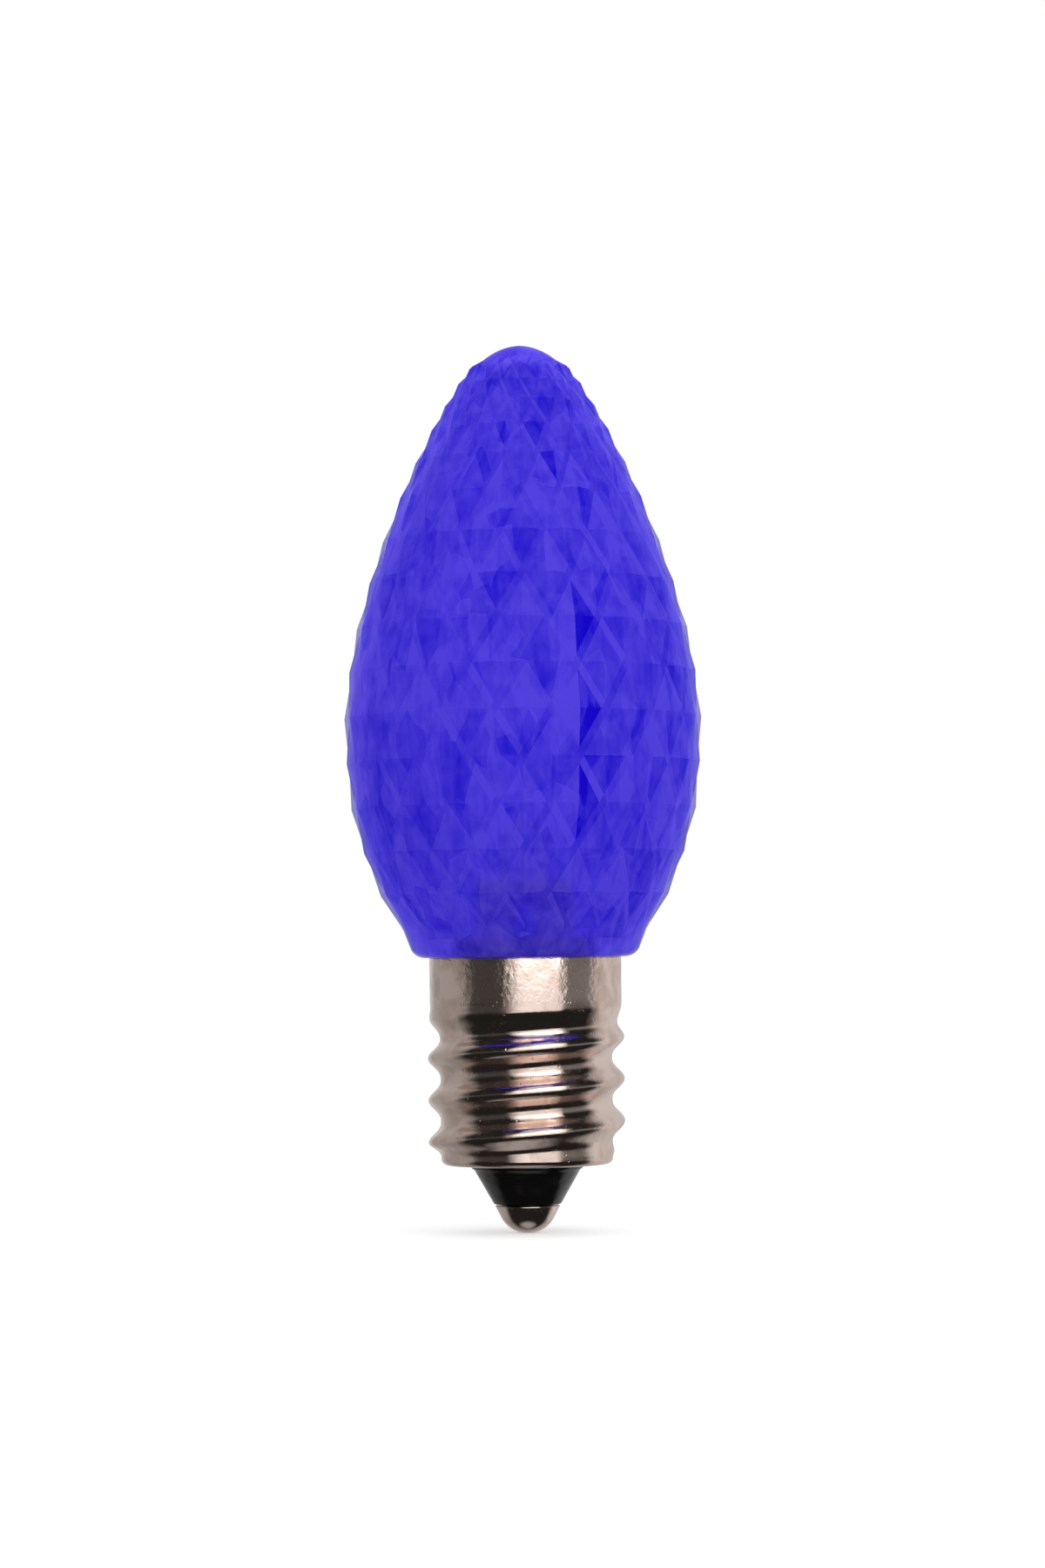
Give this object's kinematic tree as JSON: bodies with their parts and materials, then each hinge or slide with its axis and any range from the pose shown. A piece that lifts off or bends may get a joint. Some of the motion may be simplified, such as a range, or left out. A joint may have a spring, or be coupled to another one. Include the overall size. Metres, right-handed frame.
{
  "type": "christmas light bulb",
  "caption": "Candle-shaped bulb with a hollow faceted blue lens on a nickel-plated screw base, with a black glass cone above a small centre contact.",
  "frame": {"origin": "on the bulb's axis, in the plane of the lens's flat underside, which comes down to the socket's rim", "axes": "+Z along the axis to the lens's tip, away from the screw base; -Y is the side that the picture shows, +X is its right"},
  "size_m": [0.0216, 0.0216, 0.0535],
  "materials": {
    "blue_lens": "glossy, translucent, clear through and through",
    "nickel_plate": "thin polished nickel plate on rolled brass sheet",
    "black_glass": "glossy, opaque black",
    "black_plastic": "as moulded",
    "clear_resin": "clear and smooth",
    "tinned_wire": "tinned",
    "board_laminate": "green solder mask on glass-fibre laminate",
    "resistor_coat": "plain tan lacquer",
    "solder": "smooth solder"
  },
  "bodies": {
    "root": {"lens": "blue_lens", "screw_shell": "nickel_plate", "insulator": "black_glass", "centre_contact": "nickel_plate", "led_holder": "black_plastic", "led": "clear_resin", "anode_lead": "tinned_wire", "cathode_lead": "tinned_wire", "circuit_board": "board_laminate", "series_resistor": "resistor_coat", "rectifier_diode": "black_plastic", "side_wire": "tinned_wire", "shell_solder": "solder"}
  },
  "joints": []
}
